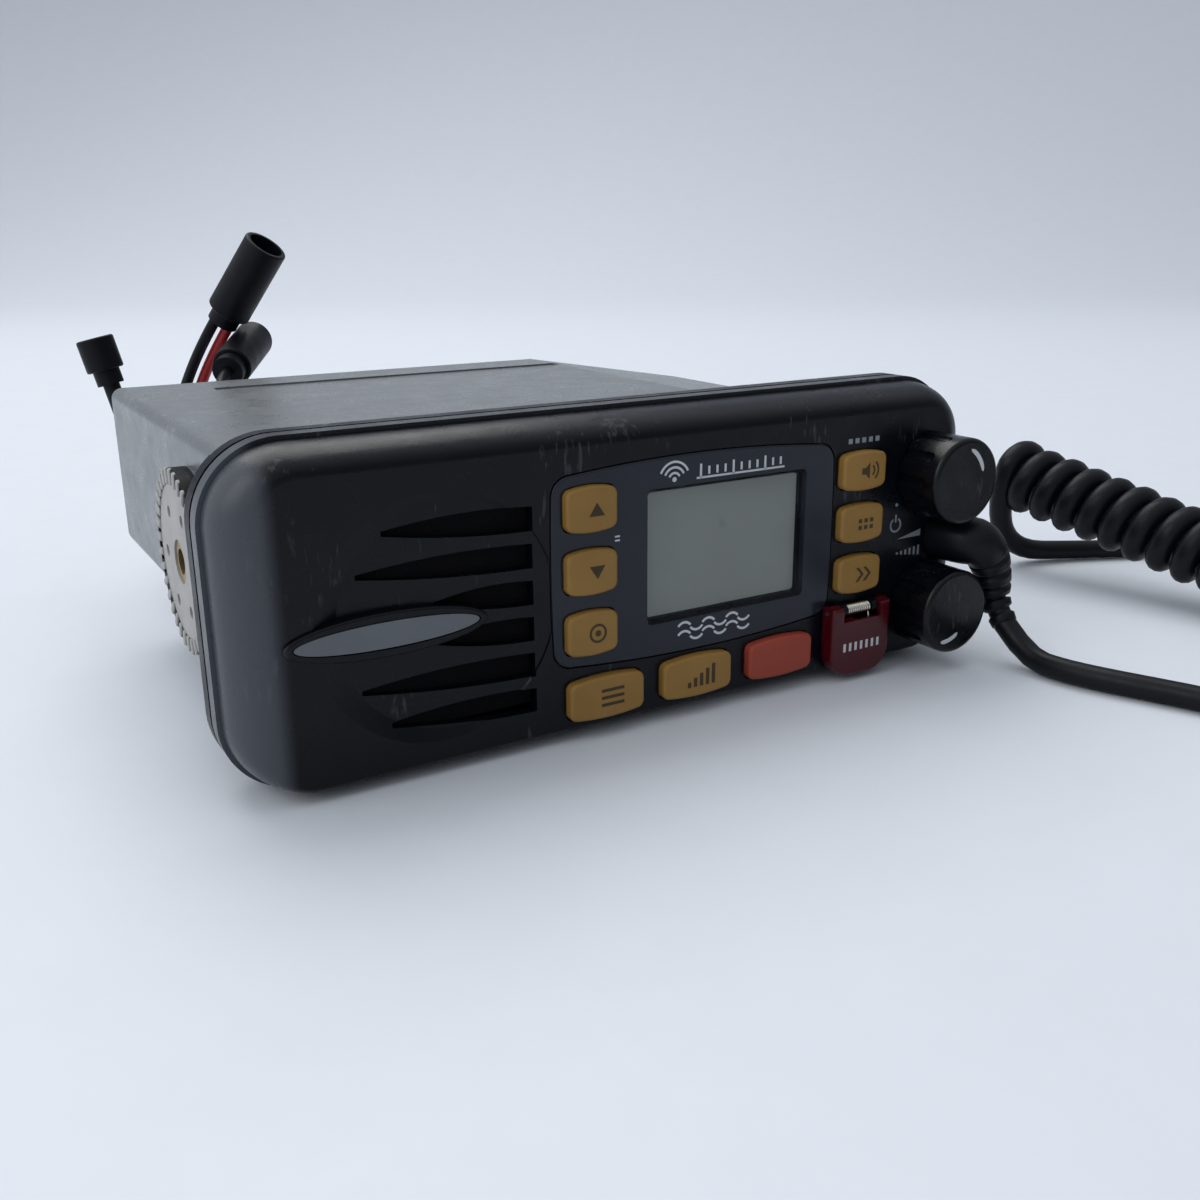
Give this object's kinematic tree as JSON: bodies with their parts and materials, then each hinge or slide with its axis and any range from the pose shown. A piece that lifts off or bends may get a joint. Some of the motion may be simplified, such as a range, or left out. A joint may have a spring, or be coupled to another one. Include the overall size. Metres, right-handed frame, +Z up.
{
  "type": "marine radio transceiver",
  "caption": "Compact marine VHF radio: bezel with speaker grille, display, soft keys, fluted knobs and flip cover, on a finned case with leads and a fist microphone on a curly cord.",
  "frame": {"origin": "middle of the case's flat resting face, on the surface it stands on", "axes": "+X to the right along the front panel, +Y from the front panel towards the rear, +Z up out of the resting face"},
  "size_m": [0.3551, 0.3182, 0.0961],
  "materials": {
    "bezel": "satin moulded plastic",
    "badge": "fine satin",
    "panel": "semi-gloss",
    "window_glass": "clear polycarbonate",
    "lcd": "grey-green reflective display",
    "mustard_key": "satin translucent silicone",
    "red_key": "satin silicone",
    "red_clear": "translucent dark red",
    "silicone": "matt silicone sheet",
    "circuit_board": "green solder mask",
    "cloth": "black woven cloth",
    "zinc_steel": "zinc plated",
    "paper_cone": "matt coated paper",
    "control_body": "moulded",
    "knob": "satin",
    "gasket": "soft foam rubber",
    "case_paint": "semi-gloss grey paint on cast aluminium",
    "disc_plastic": "ivory grey, fine grain",
    "brass": "turned",
    "tin": "tin plated sheet",
    "module": "moulded epoxy",
    "steel": "bright",
    "screw_steel": "stainless",
    "cord_rubber": "satin jacket",
    "socket_rubber": "satin moulding",
    "red_wire": "satin insulation",
    "mic_plastic": "fine textured",
    "mic_bar": "soft touch",
    "element": "satin"
  },
  "bodies": {
    "radio": {"accessory_lead": "cord_rubber", "accessory_socket": "socket_rubber", "antenna_gland": "cord_rubber", "antenna_lead": "cord_rubber", "antenna_socket": "socket_rubber", "badge_plate": "badge", "bezel_gasket": "gasket", "black_wire": "cord_rubber", "board_screws": "screw_steel", "case": "case_paint", "case_screws": "screw_steel", "control_nuts": "steel", "display_panel": "panel", "display_window": "window_glass", "distress_pin": "steel", "front_bezel": "bezel", "front_board": "circuit_board", "gimbal_disc_left": "disc_plastic", "gimbal_disc_right": "disc_plastic", "gimbal_inserts": "brass", "grille_cloth": "cloth", "keypad_membrane": "silicone", "lcd_module": "lcd", "main_board": "circuit_board", "mic_back_shell": "mic_plastic", "mic_boot": "cord_rubber", "mic_coil": "cord_rubber", "mic_element": "element", "mic_front_shell": "mic_plastic", "mic_hanger": "steel", "mic_lead": "cord_rubber", "mic_relief": "cord_rubber", "mic_screws": "screw_steel", "mic_tail": "cord_rubber", "power_gland": "cord_rubber", "power_module": "module", "power_socket": "socket_rubber", "red_wire": "red_wire", "shield_can": "tin", "speaker_cone": "paper_cone", "speaker_frame": "zinc_steel", "squelch_control": "control_body", "volume_control": "control_body"},
    "key_address": {"key_address": "mustard_key"},
    "key_calling": {"key_calling": "red_key"},
    "key_down": {"key_down": "mustard_key"},
    "key_memory": {"key_memory": "mustard_key"},
    "key_menu": {"key_menu": "mustard_key"},
    "key_power_level": {"key_power_level": "mustard_key"},
    "key_scan": {"key_scan": "mustard_key"},
    "key_select": {"key_select": "mustard_key"},
    "key_up": {"key_up": "mustard_key"},
    "distress_button": {"distress_button": "red_key"},
    "distress_cover": {"distress_cover": "red_clear", "distress_spring": "steel"},
    "volume_knob": {"volume_knob": "knob", "volume_shaft": "steel"},
    "squelch_knob": {"squelch_knob": "knob", "squelch_shaft": "steel"},
    "mic_talk_bar": {"mic_talk_bar": "mic_bar"}
  },
  "joints": [
    {"name": "key_address_press", "type": "slide", "parent": "radio", "child": "key_address", "axis": [0, 1, 0], "range_m": [0, 0.0008], "stiffness_N_per_m": 500},
    {"name": "key_calling_press", "type": "slide", "parent": "radio", "child": "key_calling", "axis": [0, 1, 0], "range_m": [0, 0.0008], "stiffness_N_per_m": 500},
    {"name": "key_down_press", "type": "slide", "parent": "radio", "child": "key_down", "axis": [0, 1, 0], "range_m": [0, 0.0008], "stiffness_N_per_m": 500},
    {"name": "key_memory_press", "type": "slide", "parent": "radio", "child": "key_memory", "axis": [0, 1, 0], "range_m": [0, 0.0008], "stiffness_N_per_m": 500},
    {"name": "key_menu_press", "type": "slide", "parent": "radio", "child": "key_menu", "axis": [0, 1, 0], "range_m": [0, 0.0008], "stiffness_N_per_m": 500},
    {"name": "key_power_level_press", "type": "slide", "parent": "radio", "child": "key_power_level", "axis": [0, 1, 0], "range_m": [0, 0.0008], "stiffness_N_per_m": 500},
    {"name": "key_scan_press", "type": "slide", "parent": "radio", "child": "key_scan", "axis": [0, 1, 0], "range_m": [0, 0.0008], "stiffness_N_per_m": 500},
    {"name": "key_select_press", "type": "slide", "parent": "radio", "child": "key_select", "axis": [0, 1, 0], "range_m": [0, 0.0008], "stiffness_N_per_m": 500},
    {"name": "key_up_press", "type": "slide", "parent": "radio", "child": "key_up", "axis": [0, 1, 0], "range_m": [0, 0.0008], "stiffness_N_per_m": 500},
    {"name": "distress_button_press", "type": "slide", "parent": "radio", "child": "distress_button", "axis": [0, 1, 0], "range_m": [0, 0.0008], "stiffness_N_per_m": 500},
    {"name": "distress_cover_hinge", "type": "hinge", "parent": "radio", "child": "distress_cover", "pos_m": [0.051, -0.07, 0.0163], "axis": [-1, 0, 0], "range_deg": [0, 110], "stiffness_Nm_per_rad": 0.002},
    {"name": "volume_turn", "type": "hinge", "parent": "radio", "child": "volume_knob", "pos_m": [0.072, -0.074, 0.0438], "axis": [0, 1, 0], "range_deg": [-167, 113]},
    {"name": "squelch_turn", "type": "hinge", "parent": "radio", "child": "squelch_knob", "pos_m": [0.072, -0.074, 0.0142], "axis": [0, 1, 0], "range_deg": [0, 280]},
    {"name": "talk_bar_press", "type": "slide", "parent": "radio", "child": "mic_talk_bar", "axis": [0.9978, -0.0667, 0.0054], "range_m": [0, 0.0016], "stiffness_N_per_m": 600}
  ]
}
